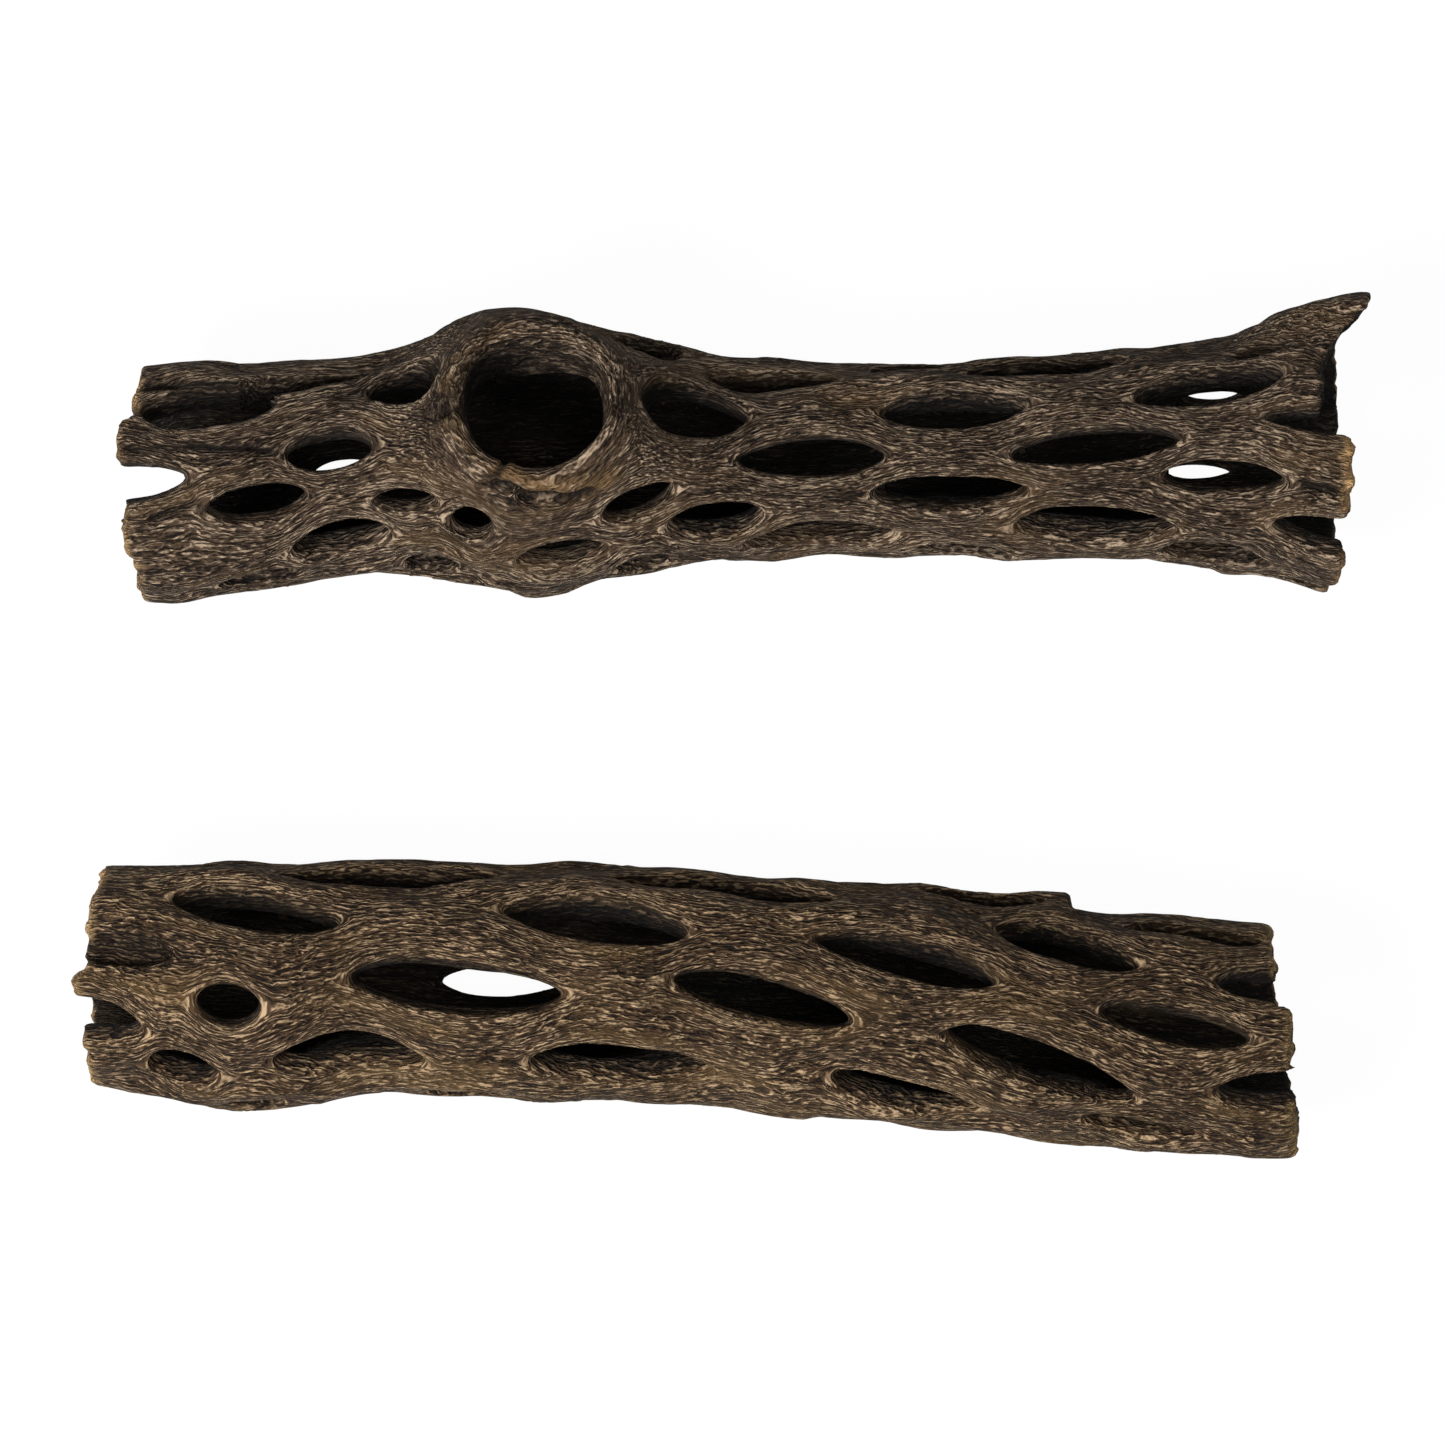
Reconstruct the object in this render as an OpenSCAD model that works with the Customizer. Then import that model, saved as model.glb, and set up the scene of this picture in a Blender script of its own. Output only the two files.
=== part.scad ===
// Two loose hollow logs of dried cholla cactus skeleton, lying side by side on a flat bed.
// Each log is one piece of wood: a tube whose wall is pierced by lens-shaped windows.
// Frame: X along the logs, Y across them, Z up from the bed. Origin under the pair's middle.

/* [Pair] */
// Distance between the two logs, front to back
log_spacing = 67.7; // [45:0.1:110]
// How far the straight log is set to the left of the knot log
log_stagger = 6; // [-20:0.5:20]

/* [Wall] */
// Thickness of the wood wall between its outside and the bore
wall = 4.8; // [4:0.1:5.5]
// Width of every window as a share of the width in the tables
window_scale = 1; // [0.6:0.05:1.2]

/* [Knot] */
// Where the knot hole's middle sits along the knot log
knot_x = -24.7; // [-40:0.1:-10]
// Angle of the knot hole from straight up, towards the back
knot_angle = 24; // [0:1:40]
// Height of the knot's rim above the log's surface
knot_rise = 4.2; // [1:0.1:6]
// Radius of the knot hole
knot_hole_r = 8.6; // [6:0.1:9]
// How far the swelling reaches from the rim of the hole
knot_reach = 5; // [3:0.1:9]

/* [Spur] */
// Angle of the spur round the log
spur_angle = 74; // [50:1:90]
// How far the spur's point stands out from the log
spur_rise = 5.2; // [1:0.1:6]
// How far the spur's point passes the log's end
spur_length = 5.8; // [1:0.1:8]

/* [Broken rib] */
// Where the broken rib on the straight log ends
rib_end_x = 48; // [40:0.5:55]
// How far that rib stands out
rib_rise = 1.8; // [0.5:0.1:3]

/* [Hidden] */

wood = [0.28, 0.23, 0.18];
// Moves the pair so that the origin is under the middle of its bounding box
pair_shift = [1.2, -0.5];

// Each log's skin is a grid of cells: a window is where cells are left out
rings = 76;
sides = 36;
ring_pitch = 2;
side_pitch = 360 / sides;
// How far a point of the grid may move to meet a window's edge, as a share of a cell
snap = 0.42;

// Stations of a log's axis: [x along the log, y of the axis, outer radius]
knot_stations = [
    [-77, -3.2, 14.6], [-71, -3.3, 14.7], [-61, -2.5, 14.3], [-51, -1.3, 13.6], [-43, -0.5, 13.7],
    [-35, -0.3, 14.9], [-24, -0.8, 16.1], [-15, -0.2, 15], [-11, 0, 14.4], [-3, 0, 13.1],
    [7, -0.2, 12.1], [19, -0.2, 11.9], [33, -0.1, 12.1], [45, 0.4, 12.6], [55, 0.5, 13.5],
    [65, 0.5, 15], [71, 0.1, 16], [77, -0.4, 17]
];
straight_stations = [
    [-76, 3, 13.3], [-69, 2.8, 13.9], [-61, 1.9, 14.9], [-53, 1.5, 15.2], [-45, 2.2, 14.7],
    [-37, 2.8, 14.3], [-25, 2.6, 14.4], [-9, 2, 14.5], [7, 0.9, 14.5], [23, -0.5, 14.6],
    [31, -1.5, 14.5], [39, -2.3, 14.3], [51, -3.5, 14.4], [63, -4.5, 14.6], [77, -5.3, 14.4]
];

// Height of a log's axis at mid-length, and its climb for each millimetre along the log
knot_axis = [15.85, 0.009];
straight_axis = [14.55, -0.006];

// Ragged ends: [angle round the log, x of the end]. Angle 0 is up and 90 points to the back.
knot_left = [[-180, -76.5], [-90, -74], [-60, -74.5], [-30, -76], [0, -76.3], [30, -77], [60, -75],
    [90, -74.5], [135, -75.5], [180, -76.5]];
knot_right = [[-180, 76.5], [-135, 75.5], [-90, 74.5], [-60, 76], [-35, 76.3], [-10, 77], [10, 77],
    [30, 75], [60, 74.5], [90, 74], [135, 76], [180, 76.5]];
straight_left = [[-180, -75], [-90, -75], [-60, -75.5], [-30, -75], [-8, -76.5], [5, -76], [12, -74.5],
    [60, -74], [90, -73.5], [180, -75]];
straight_right = [[-180, 75], [-60, 76.5], [0, 76], [22, 76], [28, 74], [90, 73.5], [180, 75]];

// Windows: [x, angle, length, width, slant, widest point from -1 at the left tip to 1 at the right]
knot_windows = [
    // Upper side, from the left end to the knot
    [-76, 0, 17, 4.6, 0, 0], [-65.5, 43, 17, 6.5, 1, 0], [-59.5, -15, 13.5, 5.2, 0, 0],
    [-59, -69, 11, 5.5, 0, 0], [-53, 61, 20, 6, 0, 0], [-50.5, 9, 14, 4.8, -2, 0],
    [-49, -46, 13, 6.2, 4, 0], [-42.5, 43, 12, 6.5, 0, 0.5], [-41, -23, 9, 3.8, 0, 0],
    [-38, -73, 7, 4.5, 0, 0], [-33, -32, 5, 4, -15, 0],
    [-21.5, -55, 12, 5.5, 8, 0],
    // Upper side, from the knot to the waist
    [-12, -24, 10, 4, 22, 0], [-11.5, -70, 7, 4.5, 0, 0], [-11, 76, 9, 5, -10, 0],
    [-5, 28, 14, 7.2, 0, -0.6], [-2.5, -37, 12.5, 5.2, 8, 0], [4.5, 56, 17, 5.5, 0, 0],
    [9.5, 1, 20, 5.2, 0, 0], [10.5, -57, 20, 5.8, 0, 0],
    // Upper side, from the waist to the right end
    [22, 78, 10, 4.5, 0, 0], [27, -23, 20.5, 4.8, 0, 0], [27.5, 31, 19, 4.6, 0, 0],
    [27.5, -77, 14, 5, 0, 0], [39, 67, 21, 5.5, 2, 0], [45, 4, 22.5, 4.6, 4, 0],
    [45, -48, 21, 5.5, 0, 0], [59, 40, 20, 6.4, 7, 0], [60, -71, 13.5, 6, -6, 0],
    [61, -14, 16, 4.6, 0, 0], [66.5, 78, 9, 4, 8, 0], [75, 17, 19, 3.2, 0, 0], [75.5, -37, 18, 6, 0, 0],
    // Underside
    [-75, 180, 17, 6.5, 0, 0], [-76, 124, 9, 4.5, 0, 0], [-73, 228, 12, 5, 0, 0],
    [-61, 105, 13, 5.5, 0, 0], [-61, 157, 13, 5, 0, 0], [-61, 219, 13, 5, 0, 0],
    [-61, 257, 12, 5, 0, 0], [-49.5, 133, 12, 5.5, 0, 0], [-49.5, 184, 9, 5, 0, 0],
    [-50, 243, 11, 5, 0, 0], [-38, 108, 13, 5.5, 0, 0], [-38, 158, 13, 5, 0, 0],
    [-37, 184, 12, 4.6, 0, 0], [-37, 232, 11, 4.5, 0, 0], [-38, 262, 12, 5, 0, 0],
    [-24, 112, 15, 5, 0, 0], [-24, 205, 14, 5, 0, 0], [-24, 240, 14, 5, 0, 0],
    [-10, 126, 12, 4.5, 0, 0], [-9, 181, 15, 5.4, 0, 0], [-6, 236, 15, 5, 0, 0], [-8, 270, 14, 5, 0, 0],
    [-8, 98, 12, 4.5, 0, 0], [10, 118, 18, 5, 0, 0], [11, 153, 17, 5, 0, 0], [11.5, 206, 16, 5, 0, 0],
    [10, 240, 18, 5, 0, 0], [27.5, 121, 18, 5.2, 0, 0], [27.5, 172, 19, 5.2, 0, 0],
    [27.5, 226, 18, 5.2, 0, 0], [44.5, 109, 19, 5.2, 0, 0], [43, 150, 16, 5, 0, 0],
    [44.5, 207, 17, 4.8, 0, 0], [44.5, 262, 19, 5.2, 0, 0], [60, 99, 16, 5.5, 0, 0],
    [61, 144, 14, 5, 0, 0], [59.5, 180, 12, 5.2, 0, 0], [60, 238, 16, 5.5, 0, 0],
    [74, 124, 15, 5.5, 0, 0], [76, 155, 13, 4.6, 0, 0], [74, 192, 12, 5, 0, 0], [75, 238, 12, 5, 0, 0],
    [74, 272, 13, 5, 0, 0]
];
straight_windows = [
    // Upper side, left half
    [-73, -29, 12, 4.6, -5, 0], [-65, 84, 12, 4, 0, 0],
    [-62.5, -50, 9, 5.8, 0, 0], [-57, -9, 8.5, 6, 0, 0], [-54, -76, 7, 4.5, 5, 0],
    [-53.5, 37, 22, 5.8, -7, 0], [-42, -42, 20, 7, -4, -0.4], [-37.5, 63, 29, 5, 0, 0],
    [-28.5, -1, 28.5, 7.2, -3, -0.3], [-27.5, -79, 11, 4.5, 0, 0], [-11.5, 36, 24.5, 6.2, -7, -0.2],
    [-8, -43, 24, 6.8, -6, -0.3],
    // Upper side, right half
    [4.5, 67, 29, 5, -6, 0], [9.5, -2, 24, 6.2, -9, 0], [27.5, 26, 24, 5.8, -9, 0],
    [27.5, -51, 20, 6.5, -9, -0.4], [37, 82, 16, 4, 0, 0], [44, -22, 26, 6.6, -14, 0],
    [47.5, 46, 19, 7, -12, -0.3], [55, -64, 12, 5, -4, 0], [61, 7, 20, 5, -6, 0],
    [63.5, 68, 18, 5, 0, 0], [73, 36, 15, 5, 0, 0], [74.5, -28, 15, 4.2, 0, 0],
    // Underside
    [-72, 128, 13, 5.5, -5, 0], [-72, 186, 12, 5, -5, 0], [-73, 240, 13, 5.5, -5, 0],
    [-58, 104, 16, 5.8, -6, 0], [-58, 163, 14, 5, -6, 0], [-55, 214, 12, 5, -6, 0],
    [-57, 262, 13, 5.5, -6, 0], [-41.5, 126, 19, 6, -6, 0], [-48, 187, 11, 5, -6, 0],
    [-41.5, 235, 19, 6, -6, 0], [-33, 149, 16, 5, -6, 0], [-24.5, 104, 20, 5.8, -6, 0],
    [-22.5, 178, 19, 5.6, -4, 0], [-26.5, 214, 12, 5.4, -6, 0], [-24.5, 257, 19, 6, -6, 0],
    [-9, 168, 14, 5, -6, 0], [-10, 197, 15, 4.8, -6, 0], [-6.5, 122, 20, 5.8, -6, 0],
    [-4, 230, 17, 5, -6, 0], [-4, 268, 19, 5.8, -6, 0], [8, 148, 17, 5, -6, 0], [13, 210, 18, 5, -6, 0],
    [11, 246, 20, 5.8, -6, 0], [21, 103, 20, 5.8, -6, 0], [29, 182, 17, 5, -6, 0],
    [27, 213, 15, 4.6, -6, 0], [31, 271, 18, 5.8, -6, 0], [33, 135, 20, 5.8, -6, 0],
    [45, 171, 14, 5, -6, 0], [46, 226, 16, 5, -6, 0], [47, 260, 18, 5, -6, 0],
    [50, 107, 19, 5.8, -6, 0], [59, 153, 14, 5, -6, 0], [60, 216, 14, 5, -6, 0],
    [65, 266, 16, 5.5, -6, 0], [72, 124, 15, 5.5, -6, 0], [76, 184, 12, 4.6, -6, 0],
    [75, 238, 12, 5, -6, 0]
];

function axis_y(stations, x) = lookup(x, [for (s = stations) [s[0], s[1]]]);
function axis_z(climb, x) = climb[0] + climb[1] * x;
function radius(stations, x) = lookup(x, [for (s = stations) [s[0], s[2]]]);
function wrap(angle) = (angle + 900) % 360 - 180;
function bell(d) = exp(-d * d);
function clamp(value, limit) = max(-limit, min(limit, value));

// How far a point of the skin lies outside a window: below zero inside it
function beyond(w, r, x, angle) =
    let (u = x - w[0],
         t = r * wrap(angle - w[1]) * PI / 180,
         along = u * cos(w[4]) + t * sin(w[4]),
         across = t * cos(w[4]) - u * sin(w[4]),
         half = w[2] / 2,
         widest = w[5] * half / 2,
         s = (along - widest) / (along < widest ? half + widest : half - widest))
    abs(across) - w[3] / 2 * window_scale * (1 - s * s);

// How far a point of the skin lies outside the knot hole
function beyond_hole(hole, r, x, angle) =
    len(hole) == 0 ? 99 : norm([x - hole[0], (r + knot_rise) * wrap(angle - hole[1]) * PI / 180]) - hole[2];

function solid_at(near, hole, r, x, angle) =
    min(concat([beyond_hole(hole, r, x, angle)], [for (w = near) beyond(w, r, x, angle)]));

// The windows that a ring at x may meet
function near_windows(windows, x) = [for (w = windows) if (abs(w[0] - x) < w[2] / 2 + 2 * ring_pitch) w];

// The x of a grid point, between two ragged ends
function grid_x(ends, i, angle) =
    lookup(angle, ends[0]) * (1 - i / rings) + lookup(angle, ends[1]) * i / rings;
function grid_angle(j) = -180 + side_pitch * j;

// What stands out of a log's surface: the knot's swelling, the spur, the broken rib
function knot_bump(x, angle) =
    let (away = norm([x - knot_x, 20 * wrap(angle - knot_angle) * PI / 180]) - knot_hole_r - 1)
    knot_rise * bell(max(0, away) / knot_reach);
function spur_share(x, angle) =
    bell(wrap(angle - spur_angle) / 20) * pow(max(0, min(1, (x - 62) / 12)), 1.5);
function rib_bump(x, angle) =
    rib_rise * bell(wrap(angle - 86) / 13) * max(0, min(1, (x - rib_end_x + 22) / 20)) * (x < rib_end_x ? 1 : 0);

// A grid point after it has moved to the edge of the window beside it: [x, angle]
function settled(log, keep, i, j) =
    let (angle = grid_angle(j),
         x = grid_x(log[2], i, angle),
         r = radius(log[0], x),
         around = [for (di = [-1, 0], dj = [-1, 0]) kept(keep, i + di, j + dj) ? 1 : 0],
         total = around[0] + around[1] + around[2] + around[3],
         inner_edge = i > 0 && i < rings,
         on_edge = inner_edge ? (total > 0 && total < 4) : total == 1)
    !on_edge ? [x, angle] :
    let (near = near_windows(log[3], x),
         turn = 180 / PI / r,
         f = solid_at(near, log[4], r, x, angle),
         fx = (solid_at(near, log[4], r, x + 0.2, angle) - solid_at(near, log[4], r, x - 0.2, angle)) / 0.4,
         ft = (solid_at(near, log[4], r, x, angle + 0.2 * turn)
             - solid_at(near, log[4], r, x, angle - 0.2 * turn)) / 0.4,
         steep = max(0.2, fx * fx + ft * ft))
    [x - (inner_edge ? clamp(f * fx / steep, snap * ring_pitch) : 0),
     angle - clamp(f * ft / steep * turn, snap * side_pitch)];

// Whether a cell of the grid is wood
function kept(keep, i, j) = i >= 0 && i < rings && keep[i][(j + sides) % sides];

// A first choice of cells by their middles
function first_cells(log) = [for (i = [0:rings - 1])
    let (near = near_windows(log[3], grid_x(log[2], i + 0.5, 0)))
    [for (j = [0:sides - 1])
        let (angle = grid_angle(j + 0.5),
             x = grid_x(log[2], i + 0.5, angle))
        solid_at(near, log[4], radius(log[0], x), x, angle) > 0]];

// Fills a cell where two others would touch only at a corner
function filled_cells(keep) = [for (i = [0:rings - 1]) [for (j = [0:sides - 1])
    kept(keep, i, j)
        || (kept(keep, i - 1, j) && kept(keep, i, j - 1) && !kept(keep, i - 1, j - 1))
        || (kept(keep, i - 1, j) && kept(keep, i, j + 1) && !kept(keep, i - 1, j + 1))]];

// A log as one closed shell. A log is [stations, climb, [left, right], windows, hole].
module shell(log, has_knot, has_spur, has_rib) {
    keep = filled_cells(filled_cells(first_cells(log)));
    grid = [for (i = [0:rings], j = [0:sides - 1]) settled(log, keep, i, j)];
    outer = [for (p = grid)
        let (x = p[0] + (has_spur ? spur_length * spur_share(p[0], p[1]) : 0),
             r = radius(log[0], p[0]) + (has_knot ? knot_bump(p[0], p[1]) : 0)
                 + (has_spur ? spur_rise * spur_share(p[0], p[1]) : 0)
                 + (has_rib ? rib_bump(p[0], p[1]) : 0))
        [x, axis_y(log[0], x) + r * sin(p[1]), max(0, axis_z(log[1], x) + r * cos(p[1]))]];
    inner = [for (p = grid)
        let (x = p[0] + (has_spur ? spur_length * 0.4 * spur_share(p[0], p[1]) : 0),
             r = radius(log[0], p[0]) - wall + (has_spur ? spur_rise * spur_share(p[0], p[1]) : 0))
        [x, axis_y(log[0], x) + r * sin(p[1]), axis_z(log[1], x) + r * cos(p[1])]];
    n = len(grid);
    faces = [for (i = [0:rings - 1], j = [0:sides - 1]) if (keep[i][j])
        let (a = i * sides + j,
             d = i * sides + (j + 1) % sides,
             b = a + sides,
             c = d + sides)
        each concat(
            [[a, d, c], [a, c, b], [n + a, n + c, n + d], [n + a, n + b, n + c]],
            kept(keep, i, j - 1) ? [] : [[a, b, n + b], [a, n + b, n + a]],
            kept(keep, i, j + 1) ? [] : [[c, d, n + d], [c, n + d, n + c]],
            kept(keep, i - 1, j) ? [] : [[d, a, n + a], [d, n + a, n + d]],
            kept(keep, i + 1, j) ? [] : [[b, c, n + c], [b, n + c, n + b]])];
    polyhedron(concat(outer, inner), faces, convexity = 12);
}

knot_hole = [knot_x, knot_angle, knot_hole_r];

module knot_log() {
    color(wood)
        translate([pair_shift[0], pair_shift[1] + log_spacing / 2, 0])
            shell([knot_stations, knot_axis, [knot_left, knot_right], knot_windows, knot_hole],
                true, true, false);
}

module straight_log() {
    color(wood)
        translate([pair_shift[0] - log_stagger, pair_shift[1] - log_spacing / 2, 0])
            shell([straight_stations, straight_axis, [straight_left, straight_right], straight_windows, []],
                false, false, true);
}

knot_log();
straight_log();
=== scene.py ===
"""Two loose logs of cholla wood on a pale floor, seen from straight above."""

import math

import bpy
import numpy as np
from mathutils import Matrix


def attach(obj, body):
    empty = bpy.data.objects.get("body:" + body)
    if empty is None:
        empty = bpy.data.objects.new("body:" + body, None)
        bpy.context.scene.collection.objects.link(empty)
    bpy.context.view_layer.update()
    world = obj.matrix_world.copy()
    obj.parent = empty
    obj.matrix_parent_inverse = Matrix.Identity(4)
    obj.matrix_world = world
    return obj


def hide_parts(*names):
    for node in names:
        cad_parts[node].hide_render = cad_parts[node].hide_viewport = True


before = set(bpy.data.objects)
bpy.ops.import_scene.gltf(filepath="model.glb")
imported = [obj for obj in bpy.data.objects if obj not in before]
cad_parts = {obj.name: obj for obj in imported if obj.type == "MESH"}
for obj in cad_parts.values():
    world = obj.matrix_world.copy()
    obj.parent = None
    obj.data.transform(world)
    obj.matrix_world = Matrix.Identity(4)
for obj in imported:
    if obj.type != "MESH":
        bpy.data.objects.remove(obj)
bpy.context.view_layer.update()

# Lengths are in millimetres until a mesh is written. A log's own frame has x along it, and an
# angle of 0 degrees is straight up from its axis, 90 degrees towards the back (+Y).

WALL = 4.8
CELL = 0.5    # size of the grid that a log's surface is found on
CELL_STRETCH = 1.12                   # cells are a little longer along the log
GRID_X = (-82.5, 84.5)
GRID_Y = (-22, 25)
GRID_Z = (-1.5, 39)

# How softly two surfaces meet
BORE_ROUND = 1.2
END_ROUND = 1.0
WINDOW_ROUND = 0.9
PIT_ROUND = 1.5
FLAT_ROUND = 0.4

# [x along the log, y of the axis, outer radius]
KNOT_STATIONS = [
    (-77, -3.2, 14.6), (-71, -3.3, 14.7), (-66, -3.1, 14.9), (-61, -2.8, 15), (-55, -2, 14.2),
    (-51, -1.3, 13.8), (-46, -0.6, 14), (-42, -0.3, 14), (-38, -0.2, 14.7), (-35, -0.4, 15.2),
    (-24, -0.8, 16.3), (-17, -0.1, 15.9), (-11, 0, 15.2), (-6, -0.3, 14.1), (-2, -0.8, 13.6),
    (3, -0.8, 12.8), (8, -0.3, 12.5), (15, -0.2, 12.2), (19, -0.2, 12.2), (23, -0.1, 12.6),
    (33, -0.1, 12.8), (41, 0.4, 13.3), (48, 0.4, 13.4), (54, 0.5, 14.2), (61, 0.6, 14.9),
    (66, 0.6, 15.6), (71, 0, 16.8), (77, -0.8, 17.4),
]
STRAIGHT_STATIONS = [
    (-76, 3.4, 13.5), (-70, 3.1, 14.3), (-65, 2.5, 15.5), (-59, 1.9, 16.3), (-53, 1.3, 16.6),
    (-48, 1.7, 15.6), (-43, 2.4, 14.6), (-36, 2.4, 14.8), (-28, 1.6, 15.5), (-20, 1.5, 15.5),
    (-12, 1.6, 15.3), (-5, 1.3, 15.3), (0, 1.3, 14.9), (7, 0.9, 14.9), (17, -0.1, 15),
    (24, -0.7, 15.6), (31, -1.5, 15.6), (39, -2.3, 15.4), (48, -3.4, 15.4), (56, -4.4, 15.4),
    (63, -5.2, 15.3), (68, -5.5, 14.8), (77, -5.7, 14.3),
]

# Ragged ends: (angle, x of the end)
KNOT_LEFT = [
    (-180, -76.5), (-90, -74), (-60, -74.8), (-42, -75), (-39, -76), (-12, -76.2), (0, -76.6),
    (13, -76.8), (16, -77.1), (33, -77.1), (39, -75.2), (60, -74.6), (90, -74.2), (135, -75.5),
    (180, -76.5),
]
KNOT_RIGHT = [
    (-180, 76.5), (-135, 75.5), (-90, 74.5), (-68, 75.5), (-52, 75.8), (-48, 76.2), (-20, 76.4),
    (-4, 76.6), (13, 76.6), (16, 74.4), (25, 73.2), (50, 73), (60, 74.2), (90, 74.4), (135, 76),
    (180, 76.5),
]
STRAIGHT_LEFT = [
    (-180, -75), (-90, -74.5), (-60, -74.8), (-40, -75.6), (-30, -75.4), (-18, -76.2), (-3, -76.6),
    (3, -75), (40, -74.4), (55, -73.2), (90, -73.2), (180, -75),
]
STRAIGHT_RIGHT = [
    (-180, 75.4), (-145, 76.3), (-60, 76.2), (-20, 75.6), (0, 75.4), (19, 75.4), (23, 73.6),
    (90, 73.2), (180, 75),
]
# Broken fibres at the ends: (how many in a turn, how many across the wall, length)
LONG_TEETH = (17, 0.5, 0.45)
SHORT_TEETH = (34, 1.1, 0.2)

# Windows: (x, angle, length, width, slant, widest point from -1 to 1)
KNOT_WINDOWS = [
    (-77, -1, 19, 5.4, 5, 0), (-65.5, 43, 18, 7.8, 1, 0), (-59.5, -15, 13.5, 5.2, 0, 0),
    (-59, -69, 11, 5.5, 0, 0), (-54, 57, 17, 4.5, 0, 0), (-50.5, 9, 11.5, 5.2, -2, 0),
    (-49, -46, 13, 6.2, 4, 0), (-41.4, 41, 9.5, 6.8, 0, 0.7), (-41, -23, 8.5, 2.8, 0, 0),
    (-38, -73, 7, 4.5, 0, 0), (-32.8, -35.5, 5.6, 6, -15, 0), (-21.5, -55, 12, 5.5, 8, 0),
    (-12, -24, 10, 4, 22, 0), (-11.5, -70, 7, 4.5, 0, 0), (-11, 76, 9, 5, -10, 0),
    (-4.8, 29, 14, 8.4, 0, -0.6), (-2.5, -37, 12.5, 5.2, 8, 0), (4.5, 60, 17, 4, 0, 0),
    (9.5, 1, 20, 5.2, 0, 0), (10.5, -57, 20, 5.8, 0, 0),
    (22, 78, 10, 4.5, 0, 0), (27, -23, 20.5, 4.8, 0, 0), (27.5, 31, 19, 4.6, 0, 0),
    (27.5, -77, 14, 5, 0, 0), (39, 65, 21, 4.2, 2, 0), (45, 4, 22.5, 4.6, 4, 0),
    (45, -48, 21, 5.5, 0, 0), (59.2, 37, 19.5, 6, 7, 0), (60, -68.5, 13.5, 6.4, -6, 0),
    (61, -14, 16, 4.6, 0, 0), (75, 17, 19, 3.2, 0, 0), (75.5, -37, 18, 6, 0, 0),
    (-75, 180, 17, 6.5, 0, 0), (-76, 124, 9, 4.5, 0, 0), (-73, 228, 12, 5, 0, 0),
    (-61, 105, 13, 5.5, 0, 0), (-61, 157, 13, 5, 0, 0), (-61, 219, 13, 5, 0, 0),
    (-61, 257, 12, 5, 0, 0), (-50.5, 131, 10, 5, 0, 0), (-49.5, 184, 9, 5, 0, 0),
    (-50, 243, 11, 5, 0, 0), (-38, 108, 13, 5.5, 0, 0), (-39, 157, 9, 4.4, 0, 0),
    (-37, 184, 12, 4.6, 0, 0), (-37, 232, 11, 4.5, 0, 0), (-38, 262, 12, 5, 0, 0),
    (-24, 112, 15, 5, 0, 0), (-24, 205, 14, 5, 0, 0), (-24, 240, 14, 5, 0, 0),
    (-10, 126, 12, 4.5, 0, 0), (-9, 181, 15, 5.4, 0, 0), (-6, 236, 15, 5, 0, 0), (-8, 270, 14, 5, 0, 0),
    (-8, 98, 12, 4.5, 0, 0), (10, 118, 18, 5, 0, 0), (11, 149, 17, 4.6, 0, 0), (11.5, 206, 16, 5, 0, 0),
    (10, 240, 18, 5, 0, 0), (27.5, 121, 18, 5.2, 0, 0), (27.5, 172, 19, 5.2, 0, 0),
    (27.5, 226, 18, 5.2, 0, 0), (44.5, 109, 19, 5.2, 0, 0), (43, 150, 16, 5, 0, 0),
    (44.5, 207, 17, 4.8, 0, 0), (44.5, 262, 19, 5.2, 0, 0), (60, 99, 16, 5.5, 0, 0),
    (60.2, 139.5, 10, 4.4, 0, 0), (58.8, 190.5, 9, 2.5, 0, 0), (60, 238, 16, 5.5, 0, 0),
    (68, 122, 11, 5, 0, 0), (76, 192, 10, 5, 0, 0), (75, 238, 12, 5, 0, 0),
    (74, 272, 13, 5, 0, 0),
]
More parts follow.
